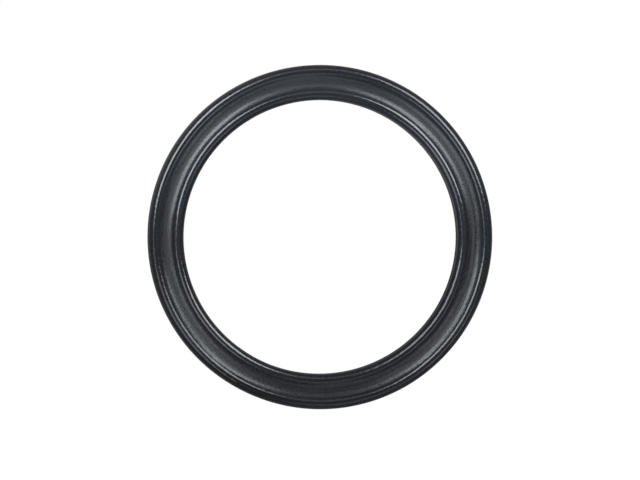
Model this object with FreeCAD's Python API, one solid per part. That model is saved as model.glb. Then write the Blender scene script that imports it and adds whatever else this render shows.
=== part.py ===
import FreeCAD, Part
import math
import os

# A four-lobed sealing ring, moulded in rubber as one piece.
# Its section is a square with a rounded lobe at each corner and a shallow hollow in each side.
# The lobes seal in pairs: the two inner ones on a shaft, the two outer ones in a bore.
# The ring lies flat and centred on the origin, with its axis along Z. Sizes are in millimetres.

# Driving dimensions
inside_diameter = 20.29     # across the hole, between the tips of the inner lobes
section_width = 2.62        # over two neighbouring lobes, across the ring and along its axis alike
lobe_radius = 0.475         # rounding of each lobe
hollow_depth = 0.27         # from the tips of two neighbouring lobes down to the hollow between them
seam_width = 0.14           # ridge that the mould's parting line leaves in the inner and outer hollow
seam_height = 0.05          # how far that ridge stands up from the hollow

# The section, measured from its own middle
half_section = section_width / 2
ring_radius = inside_diameter / 2 + half_section    # from the ring's axis to the middle of the section
lobe_offset = half_section - lobe_radius            # centre of a lobe from the middle, both ways

# A hollow is one arc that runs into the lobes on both sides of it without a corner.
hollow_bottom = half_section - hollow_depth
centre_distance = (lobe_offset**2 + hollow_depth**2) / (2 * hollow_depth)   # hollow's centre to lobe's centre
hollow_radius = centre_distance - lobe_radius
hollow_centre = hollow_bottom + hollow_radius
hollow_half_angle = math.asin(lobe_offset / centre_distance)
seam_half_angle = math.asin(seam_width / 2 / hollow_radius)
quarter_turn = math.pi / 2


def section_point(across, out, turn):
    """A point of the side that faces along +Z, turned with that side about the section's middle."""
    x = across * math.cos(turn) + out * math.sin(turn)
    z = out * math.cos(turn) - across * math.sin(turn)
    return FreeCAD.Vector(ring_radius + x, 0, z)


def hollow_point(angle, turn):
    """A point of a hollow's arc, at an angle from the deepest point as seen from the arc's centre."""
    across = hollow_radius * math.sin(angle)
    out = hollow_centre - hollow_radius * math.cos(angle)
    return section_point(across, out, turn)


def hollow_arc(start, end, turn):
    """The stretch of a hollow between two angles."""
    middle = (start + end) / 2
    arc = Part.Arc(hollow_point(start, turn), hollow_point(middle, turn), hollow_point(end, turn))
    return arc.toShape()


def plain_hollow(turn):
    """The whole hollow of the upper or lower side."""
    return [hollow_arc(-hollow_half_angle, hollow_half_angle, turn)]


def seamed_hollow(turn):
    """The hollow of the inner or outer side, with the rounded ridge of the parting line at its deepest."""
    seam_top = section_point(0, hollow_bottom + seam_height, turn)
    ridge = Part.Arc(hollow_point(-seam_half_angle, turn), seam_top, hollow_point(seam_half_angle, turn))
    before = hollow_arc(-hollow_half_angle, -seam_half_angle, turn)
    after = hollow_arc(seam_half_angle, hollow_half_angle, turn)
    return [before, ridge.toShape(), after]


def lobe(turn):
    """The lobe at the end of a side: round its tip to the start of the next side's hollow."""
    tip_reach = lobe_offset + lobe_radius * math.cos(quarter_turn / 2)
    tip = section_point(tip_reach, tip_reach, turn)
    start = hollow_point(hollow_half_angle, turn)
    end = hollow_point(-hollow_half_angle, turn + quarter_turn)
    return Part.Arc(start, tip, end).toShape()


def section_outline():
    """The closed outline: top, outer side, bottom and inner side, each followed by its lobe."""
    edges = []
    for side, hollow in enumerate([plain_hollow, seamed_hollow, plain_hollow, seamed_hollow]):
        turn = side * quarter_turn
        edges += hollow(turn)
        edges.append(lobe(turn))
    return Part.Wire(edges)


def x_ring():
    """The ring: its section turned once round the axis."""
    section = Part.Face(section_outline())
    return section.revolve(FreeCAD.Vector(0, 0, 0), FreeCAD.Vector(0, 0, 1), 360)


os.makedirs("parts", exist_ok=True)
ring = x_ring()
ring.exportStep("parts/x_ring.step")

outside_diameter = inside_diameter + 2 * section_width
print(f"x_ring: {inside_diameter:.2f} inside, {outside_diameter:.2f} outside, {section_width:.2f} thick,")
print(f"  hollow radius {hollow_radius:.3f}, volume {ring.Volume:.1f} mm3, valid {ring.isValid()}")
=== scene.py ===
import math
import bpy
from mathutils import Matrix, Quaternion, Vector, noise


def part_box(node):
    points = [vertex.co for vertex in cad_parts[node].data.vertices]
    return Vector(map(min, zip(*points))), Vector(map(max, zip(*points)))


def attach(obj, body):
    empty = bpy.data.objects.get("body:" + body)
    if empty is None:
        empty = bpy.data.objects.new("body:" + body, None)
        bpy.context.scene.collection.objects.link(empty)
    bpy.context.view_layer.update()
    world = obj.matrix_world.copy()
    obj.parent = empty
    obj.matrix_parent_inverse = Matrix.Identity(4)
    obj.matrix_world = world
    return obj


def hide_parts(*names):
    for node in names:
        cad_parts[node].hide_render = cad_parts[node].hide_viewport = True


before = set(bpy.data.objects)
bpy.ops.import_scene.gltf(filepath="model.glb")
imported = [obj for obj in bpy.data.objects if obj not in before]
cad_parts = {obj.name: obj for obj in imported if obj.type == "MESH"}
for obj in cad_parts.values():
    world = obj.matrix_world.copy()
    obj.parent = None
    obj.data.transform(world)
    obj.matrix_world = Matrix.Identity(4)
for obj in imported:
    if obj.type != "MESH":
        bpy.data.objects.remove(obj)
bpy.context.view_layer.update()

mm = 0.001
quarterTurn = math.pi / 2

# The ring lies flat, centred on the origin, with its axis along Z. Its main sizes come from the frame.
lowCorner, highCorner = (Vector(corner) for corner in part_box("x_ring"))
outsideRadius = highCorner.x
halfSection = highCorner.z
ringRadius = outsideRadius - halfSection    # from the ring's axis to the middle of its section
floorHeight = lowCorner.z


class Signal:
    # A socket's output. Arithmetic on it adds Math nodes, so shader maths reads as plain expressions.
    def __init__(self, shader, socket):
        self.shader = shader
        self.socket = socket

    def maths(self, operation, first, second):
        return self.shader.node("ShaderNodeMath", {"operation": operation}, {0: first, 1: second})

    def __add__(self, other):
        return self.maths("ADD", self, other)

    __radd__ = __add__

    def __sub__(self, other):
        return self.maths("SUBTRACT", self, other)

    def __rsub__(self, other):
        return self.maths("SUBTRACT", other, self)

    def __mul__(self, other):
        return self.maths("MULTIPLY", self, other)

    __rmul__ = __mul__

    def __truediv__(self, other):
        return self.maths("DIVIDE", self, other)

    def __rtruediv__(self, other):
        return self.maths("DIVIDE", other, self)

    def __pow__(self, other):
        return self.maths("POWER", self, other)

    def __rpow__(self, other):
        return self.maths("POWER", other, self)


class Shader:
    # The node tree of a material or of the world, filled one node at a time
    def __init__(self, owner):
        owner.use_nodes = True
        self.tree = owner.node_tree
        self.tree.nodes.clear()

    def node(self, kind, settings=None, sockets=None, out=0):
        made = self.tree.nodes.new(kind)
        for key, value in (settings or {}).items():
            setattr(made, key, value)
        for key, value in (sockets or {}).items():
            if isinstance(value, Signal):
                self.tree.links.new(value.socket, made.inputs[key])
            else:
                made.inputs[key].default_value = value
        return Signal(self, made.outputs[out]) if made.outputs else made

    def blend(self, factor, first, second):
        # Two colours mixed by a factor. The colour result is the node's third output.
        sockets = {"Factor": factor, "A": first, "B": second}
        return self.node("ShaderNodeMix", {"data_type": "RGBA"}, sockets, out=2)

    def cloudNoise(self, place, size, detail):
        # Noise in patches of about the given size, about 0.5 on average
        return self.node("ShaderNodeTexNoise", {"noise_dimensions": "3D"},
                         {"Vector": place, "Scale": 1 / size, "Detail": detail})


# Section of the ring

section = {
    "lobeRadius": 0.475 * mm,     # rounding of each lobe
    "hollowDepth": 0.27 * mm,     # from the lobes' tips down to the hollow between them
    "seamWidth": 0.14 * mm,       # ridge of the mould's parting line, in the inner and outer hollow
    "seamHeight": 0.05 * mm,
    "seamWear": 0.45,             # share of its height that the ridge loses where it is trimmed lowest
    "seamWaves": 9,               # a higher number makes that trimming change faster round the ring
    "seamRoom": 1.5,              # the hollow's own points keep this many half ridges off the ridge's middle
    "lobeSteps": 18,
    "hollowSteps": 12,
    "seamSteps": 6,
    "turnSteps": 720,             # steps round the whole ring
}

lobeOffset = halfSection - section["lobeRadius"]
hollowBottom = halfSection - section["hollowDepth"]
centreDistance = (lobeOffset**2 + section["hollowDepth"]**2) / (2 * section["hollowDepth"])
hollowRadius = centreDistance - section["lobeRadius"]
hollowCentre = hollowBottom + hollowRadius
hollowHalfAngle = math.asin(lobeOffset / centreDistance)
seamHalfAngle = math.asin(section["seamWidth"] / 2 / hollowRadius)


def hollowPoint(angle):
    # Across and out, for the side that faces up; out runs away from the section's middle
    return hollowRadius * math.sin(angle), hollowCentre - hollowRadius * math.cos(angle)


def lobePoint(angle):
    reach = section["lobeRadius"]
    return lobeOffset + reach * math.sin(angle), lobeOffset + reach * math.cos(angle)


def seamPoints():
    # The ridge: (across, out, hollow share, seam share) at each point
    points = []
    for step in range(section["seamSteps"] + 1):
        share = 2 * step / section["seamSteps"] - 1
        across, out = hollowPoint(seamHalfAngle * share)
        points.append((across, out, 1, 1 - share**2))
    return points


def sidePoints(withSeam):
    # One side and the lobe that follows it, with the same four values at each point
    points = []
    steps = section["hollowSteps"]
    seamRoom = seamHalfAngle * section["seamRoom"]
    for step in range(steps):
        angle = hollowHalfAngle * (2 * step / steps - 1)
        if withSeam and abs(angle) < seamRoom:
            continue
        across, out = hollowPoint(angle)
        points.append((across, out, 1 - (angle / hollowHalfAngle)**2, 0))
        nextAngle = hollowHalfAngle * (2 * (step + 1) / steps - 1)
        if withSeam and angle < 0 and nextAngle > -seamRoom:
            points += seamPoints()
    span = quarterTurn + 2 * hollowHalfAngle
    for step in range(section["lobeSteps"]):
        across, out = lobePoint(span * step / section["lobeSteps"] - hollowHalfAngle)
        points.append((across, out, 0, 0))
    return points


def sectionPoints():
    # The whole outline: (point, direction away from the middle, hollow share, seam share) at each point
    points = []
    for side in range(4):
        turn = side * quarterTurn
        along = Vector((math.cos(turn), -math.sin(turn)))
        away = Vector((math.sin(turn), math.cos(turn)))
        for across, out, hollow, seam in sidePoints(withSeam=side % 2 == 1):
            points.append((along * across + away * out, away, hollow, seam))
    return points


def makeRing():
    outline = sectionPoints()
    rim = len(outline)
    turnSteps = section["turnSteps"]
    places = []
    hollows = []
    for turnStep in range(turnSteps):
        turn = 2 * math.pi * turnStep / turnSteps
        direction = Vector((math.cos(turn), math.sin(turn), 0))
        trim = noise.noise(direction * section["seamWaves"]) * 0.5 + 0.5    # 0 to 1
        ridge = section["seamHeight"] * (1 - section["seamWear"] * trim)
        for point, away, hollow, seam in outline:
            across, height = point + away * ridge * seam
            places.append(direction * (ringRadius + across) + Vector((0, 0, height)))
            hollows.append(hollow)
    faces = []
    for turnStep in range(turnSteps):
        here = turnStep * rim
        there = (turnStep + 1) % turnSteps * rim
        for step in range(rim):
            after = (step + 1) % rim
            faces.append((here + step, here + after, there + after, there + step))
    mesh = bpy.data.meshes.new("rubberRing")
    mesh.from_pydata(places, [], faces)
    mesh.validate()
    mesh.polygons.foreach_set("use_smooth", [True] * len(faces))
    attribute = mesh.attributes.new("hollow", "FLOAT", "POINT")
    attribute.data.foreach_set("value", hollows)
    mesh.update()
    piece = bpy.data.objects.new("rubber_ring", mesh)
    bpy.context.scene.collection.objects.link(piece)
    return piece


# Black moulded rubber. Directions are in degrees from +X towards +Y. Clouds, streaks and grain are three
# noises, which change the shade, the roughness and the oil by the amounts given.

rubber = {
    "dark": (0.0066, 0.0061, 0.0062, 1),
    "light": (0.0149, 0.0177, 0.0227, 1),
    "paintedLightSlope": 0.38,            # painted light: the colour grows paler towards +Y
    "cloudShade": 0.8,
    "streakShade": 3,
    "grainShade": 3.5,
    "refraction": 1.616,           # index of refraction

    "lobeRoughness": 0.118,
    "hollowRoughness": 0.355,      # the hollows are duller: the mould's cutter left turned marks in them
    "hollowAnisotropy": 0.79,      # those marks spread light across the section more than round the ring
    "marksRotation": 0.25,         # in turns
    "cloudRoughness": 0.08,
    "streakRoughness": 0.44,
    "grainRoughness": 0.40,
    "unevenOnLobes": 0.25,         # share of those three that the lobes keep

    "oilMean": 0.46,               # thin film of oil from the mould
    "oilSlope": 0.39,              # more of it towards +Y
    "streakOil": 1.6,
    "grainOil": 2.4,
    "oilOnLobes": 0.115,           # the film's roughness on the lobes and in the hollows
    "oilInHollows": 0.262,
    "oilRefraction": 1.5,

    "scuffsTowards": (56, 207),    # the outer lobes are scuffed and dull on these sides
    "scuffFade": 10,               # a higher power gives a shorter stretch
    "scuffRoughness": 0.07,
    "scuffOil": 0.3,               # how much oil the scuffs have lost
    "wetTowards": 143,             # all lobes carry more oil on this side
    "wetFade": 25,
    "wetOil": 0.26,
    "polishRoughness": 0.09,       # the inner lobes are smoother and oilier between +X and +Y and on the
    "polishOil": 1.1,              # opposite side, and duller in between
    "lobeStart": 0.4,              # where a lobe starts and where it is full, as shares of the way
    "lobeFull": 0.8,               # from the section's middle to the lobe's centre

    "grainSize": 0.13 * mm,        # fine grain of the mould's surface
    "grainDetail": 2,
    "grainHeight": 0.008 * mm,
    "grainOnLobes": 0.4,           # share of its height that the grain keeps on the smoother lobes
    "streakSize": 0.19 * mm,       # turned marks that run round the ring
    "streakLength": 7 * mm,
    "streakDetail": 2,
    "streakHeight": 0.034 * mm,
    "rippleSize": 0.34 * mm,       # slight unevenness of the lobes, which makes the lines of light waver
    "rippleDetail": 0,
    "rippleHeight": 0.010 * mm,
    "cloudSize": 1.6 * mm,         # slow changes over the surface
    "cloudDetail": 4,
}


def makeRubber():
    material = bpy.data.materials.new("blackRubber")
    shader = Shader(material)
    place = shader.node("ShaderNodeTexCoord", out="Object")
    split = shader.node("ShaderNodeSeparateXYZ", None, {0: place})
    x, y, z = (Signal(shader, socket) for socket in split.socket.node.outputs)
    radius = (x * x + y * y)**0.5
    hollow = shader.node("ShaderNodeAttribute", {"attribute_name": "hollow"}, out="Fac")

    grain = shader.cloudNoise(place, rubber["grainSize"], rubber["grainDetail"])
    clouds = shader.cloudNoise(place, rubber["cloudSize"], rubber["cloudDetail"])
    ripples = shader.cloudNoise(place, rubber["rippleSize"], rubber["rippleDetail"])
    # Streaks run round the ring: fast across the section, slow along X and Y
    across = shader.node("ShaderNodeCombineXYZ", None, {
        0: radius * (1 / rubber["streakSize"]),
        1: z * (1 / rubber["streakSize"]),
        2: x * (1 / rubber["streakLength"]),
    })
    streaks = shader.node("ShaderNodeTexNoise", {"noise_dimensions": "4D"}, {
        "Vector": across,
        "W": y * (1 / rubber["streakLength"]),
        "Scale": 1.0,
        "Detail": rubber["streakDetail"],
    })
    cloudTone = clouds - 0.5
    streakTone = streaks - 0.5
    grainTone = grain - 0.5

    def fullInHollows(onLobes):
        # All of it in the hollows, and the given share on the lobes
        return onLobes + hollow * (1 - onLobes)

    def sideTowards(heading, fade):
        # 1 on the side of the ring that lies in that direction, falling to 0 away from it
        angle = math.radians(heading)
        towards = (x * math.cos(angle) + y * math.sin(angle)) / radius
        return towards.maths("MAXIMUM", towards, 0)**fade

    def lobeOn(side):
        # 1 on the outer lobes (side 1) or the inner ones (side -1), and 0 between them
        start = ringRadius + side * lobeOffset * rubber["lobeStart"]
        full = ringRadius + side * lobeOffset * rubber["lobeFull"]
        return shader.node("ShaderNodeMapRange", {"interpolation_type": "SMOOTHSTEP"},
                           {"Value": radius, "From Min": start, "From Max": full})

    height = (grain * fullInHollows(rubber["grainOnLobes"]) * rubber["grainHeight"]
              + streaks * hollow * rubber["streakHeight"]
              + ripples * (1 - hollow) * rubber["rippleHeight"])
    relief = shader.node("ShaderNodeBump", None, {"Strength": 1.0, "Distance": 1.0, "Height": height})

    # The term in y is painted light that makes the rubber paler towards +Y. The three noises give the
    # rubber's own uneven tone.
    shade = (0.5 + y * (rubber["paintedLightSlope"] / ringRadius) + cloudTone * rubber["cloudShade"]
             + streakTone * rubber["streakShade"] + grainTone * rubber["grainShade"])
    colour = shader.blend(shade, rubber["dark"], rubber["light"])

    firstScuff, secondScuff = (sideTowards(side, rubber["scuffFade"]) for side in rubber["scuffsTowards"])
    scuff = (firstScuff + secondScuff) * lobeOn(1)
    wet = sideTowards(rubber["wetTowards"], rubber["wetFade"]) * (1 - hollow)
    polish = x * y / (radius * radius) * lobeOn(-1)

    mottling = (cloudTone * rubber["cloudRoughness"] + streakTone * rubber["streakRoughness"]
                + grainTone * rubber["grainRoughness"]) * fullInHollows(rubber["unevenOnLobes"])
    wear = scuff * rubber["scuffRoughness"] - polish * rubber["polishRoughness"]
    oil = (rubber["oilMean"] + y * (rubber["oilSlope"] / ringRadius) + grainTone * rubber["grainOil"]
           + streakTone * rubber["streakOil"] - scuff * rubber["scuffOil"]
           + polish * rubber["polishOil"] + wet * rubber["wetOil"])

    def body(roughness, anisotropy, oilRoughness):
        return shader.node("ShaderNodeBsdfPrincipled", None, {
            "Base Color": colour,
            "Roughness": roughness + mottling + wear,
            "IOR": rubber["refraction"],
            "Anisotropic": anisotropy,
            "Anisotropic Rotation": rubber["marksRotation"],
            "Coat Weight": oil,
            "Coat Roughness": oilRoughness,
            "Coat IOR": rubber["oilRefraction"],
            "Normal": relief,
        })

    lobes = body(rubber["lobeRoughness"], 0, rubber["oilOnLobes"])
    hollows = body(rubber["hollowRoughness"], rubber["hollowAnisotropy"], rubber["oilInHollows"])
    surface = shader.node("ShaderNodeMixShader", None, {0: hollow, 1: lobes, 2: hollows})
    shader.node("ShaderNodeOutputMaterial", None, {"Surface": surface})
    return material


# Floor

plainWhite = (1, 1, 1, 1)

floor = {
    "width": 6.0,          # metres
    "colour": (0.20, 0.20, 0.205, 1),
    "whiteShare": 0.94,    # share of the floor's look that is plain white, so that only a faint shadow shows
    "white": 1.06,         # makes up for the rest, so that the open floor comes out white
    "whiteInGloss": 0.08,  # the share that gloss and glass show: more would rim the black rubber with light
}


def whiteRays(shader):
    # What the camera sees, and the white share of what gloss and glass show
    seen = shader.node("ShaderNodeLightPath", out="Is Camera Ray")
    mirrored = shader.node("ShaderNodeLightPath", out="Is Glossy Ray")
    through = shader.node("ShaderNodeLightPath", out="Is Transmission Ray")
    return seen, (mirrored + through) * floor["whiteInGloss"]


def makeFloor():
    half = floor["width"] / 2
    corners = [(-half, -half, floorHeight), (half, -half, floorHeight),
               (half, half, floorHeight), (-half, half, floorHeight)]
    mesh = bpy.data.meshes.new("floor")
    mesh.from_pydata(corners, [], [(0, 1, 2, 3)])
    sheet = bpy.data.objects.new("floor", mesh)
    bpy.context.scene.collection.objects.link(sheet)
    material = bpy.data.materials.new("whiteFloor")
    shader = Shader(material)
    seen, inGloss = whiteRays(shader)
    whiteness = seen * floor["whiteShare"] + inGloss
    paper = shader.node("ShaderNodeBsdfDiffuse", None, {"Color": floor["colour"]})
    white = shader.node("ShaderNodeEmission", None, {"Color": plainWhite, "Strength": floor["white"]})
    surface = shader.node("ShaderNodeMixShader", None, {0: whiteness, 1: paper, 2: white})
    shader.node("ShaderNodeOutputMaterial", None, {"Surface": surface})
    mesh.materials.append(material)
    return sheet


# Soft boxes: azimuth in degrees from +X towards +Y, zenith in degrees from straight up. The core is what
# the middle of a box, half as wide and high, has over the rest.

softBoxes = {
    "upperLeft": {"azimuth": 142.2, "zenith": 33, "width": 0.28, "height": 0.239, "roll": 12,
                  "radiance": 4.75, "core": 1.2},
    "upperRight": {"azimuth": 40, "zenith": 38.6, "width": 0.283, "height": 0.228, "roll": -32,
                   "radiance": 4.4, "core": 0.6},
    "lowerLeft": {"azimuth": 214.4, "zenith": 30.7, "width": 0.25, "height": 0.221, "roll": 40,
                  "radiance": 1.44, "core": 1.35},
    "lowerRight": {"azimuth": 300, "zenith": 39.2, "width": 0.509, "height": 0.275, "roll": 19,
                   "radiance": 0.31, "core": 0},
    "right": {"azimuth": 322, "zenith": 38.5, "width": 0.14, "height": 0.065, "roll": 18,
              "radiance": 1.6, "core": 0},
    "top": {"azimuth": 84, "zenith": 37.4, "width": 0.42, "height": 0.241, "roll": 12,
            "radiance": 0.40, "core": 0},
}

studio = {
    "lampDistance": 0.5,           # metres from the ring's middle
    "lampColour": (0.90, 0.955, 1.0),
    "coreShare": 0.5,              # a core's width and height as a share of its box's
    "surroundings": (0.084, 0.1005, 0.128, 1),    # what lights the ring from all round
}


def makeLamp(name, box, share, radiance):
    # One lamp with a share of its soft box's width and height
    azimuth = math.radians(box["azimuth"])
    zenith = math.radians(box["zenith"])
    direction = Vector((math.cos(azimuth) * math.sin(zenith), math.sin(azimuth) * math.sin(zenith),
                        math.cos(zenith)))
    data = bpy.data.lights.new(name, "AREA")
    data.shape = "RECTANGLE"
    data.size = box["width"] * share
    data.size_y = box["height"] * share
    # An area lamp's radiance is its energy over its area and a half-sphere's pi
    data.energy = radiance * math.pi * data.size * data.size_y
    data.color = studio["lampColour"]
    lamp = bpy.data.objects.new(name, data)
    across = Vector((-math.sin(azimuth), math.cos(azimuth), 0))
    across.rotate(Quaternion(direction, math.radians(box["roll"])))
    upwards = direction.cross(across)
    lamp.matrix_world = Matrix((across, upwards, direction)).transposed().to_4x4()
    lamp.matrix_world.translation = direction * studio["lampDistance"]
    bpy.context.scene.collection.objects.link(lamp)


def makeLights():
    for name, box in softBoxes.items():
        makeLamp(name, box, 1, box["radiance"])
        if box["core"]:
            makeLamp(name + "Core", box, studio["coreShare"], box["radiance"] * box["core"])
    world = bpy.context.scene.world or bpy.data.worlds.new("studio")
    bpy.context.scene.world = world
    shader = Shader(world)
    seen, inGloss = whiteRays(shader)
    glow = shader.node("ShaderNodeBackground", None, {"Color": studio["surroundings"], "Strength": 1.0})
    white = shader.node("ShaderNodeBackground", None, {"Color": plainWhite, "Strength": 1.0})
    surface = shader.node("ShaderNodeMixShader", None, {0: seen + inGloss, 1: glow, 2: white})
    shader.node("ShaderNodeOutputWorld", None, {"Surface": surface})


# Camera, straight above but for a slight tilt

view = {
    "distance": 1.0,               # metres from the ring's middle
    "tiltLeft": 3.1,               # degrees off the ring's axis, towards -X
    "tiltTop": 0.6,                # and towards +Y
    "ringWidth": 344.2,            # pixels that the ring's outside diameter covers
    "ringCentre": (319.8, 237.0),  # pixels from the picture's left and top
    "picture": (640, 480),
    "sensorWidth": 36,             # millimetres
    "nearest": 0.01,               # metres from the camera, where its view starts
}


def makeCamera():
    data = bpy.data.cameras.new("camera")
    camera = bpy.data.objects.new("camera", data)
    bpy.context.scene.collection.objects.link(camera)
    wide, high = view["picture"]
    pixel = 2 * outsideRadius / view["ringWidth"]
    data.sensor_width = view["sensorWidth"]
    data.lens = data.sensor_width * view["distance"] / (pixel * wide)
    data.clip_start = view["nearest"]
    left = math.tan(math.radians(view["tiltLeft"]))
    top = math.tan(math.radians(view["tiltTop"]))
    towards = Vector((-left, top, 1)).normalized()
    right = Vector((0, 1, 0)).cross(towards).normalized()
    upwards = towards.cross(right)
    fromLeft, fromTop = view["ringCentre"]
    aim = right * (wide / 2 - fromLeft) * pixel + upwards * (fromTop - high / 2) * pixel
    camera.matrix_world = Matrix((right, upwards, towards)).transposed().to_4x4()
    camera.matrix_world.translation = aim + towards * view["distance"]
    bpy.context.scene.camera = camera


ring = makeRing()
ring.data.materials.append(makeRubber())
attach(ring, "root")
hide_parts("x_ring")
print("ring:", len(ring.data.vertices), "points,", len(ring.data.polygons) * 2, "triangles")

makeFloor()
print("floor laid")
makeLights()
print("soft boxes set:", len(softBoxes))
makeCamera()
bpy.context.scene.view_settings.view_transform = "Standard"
print("camera set")
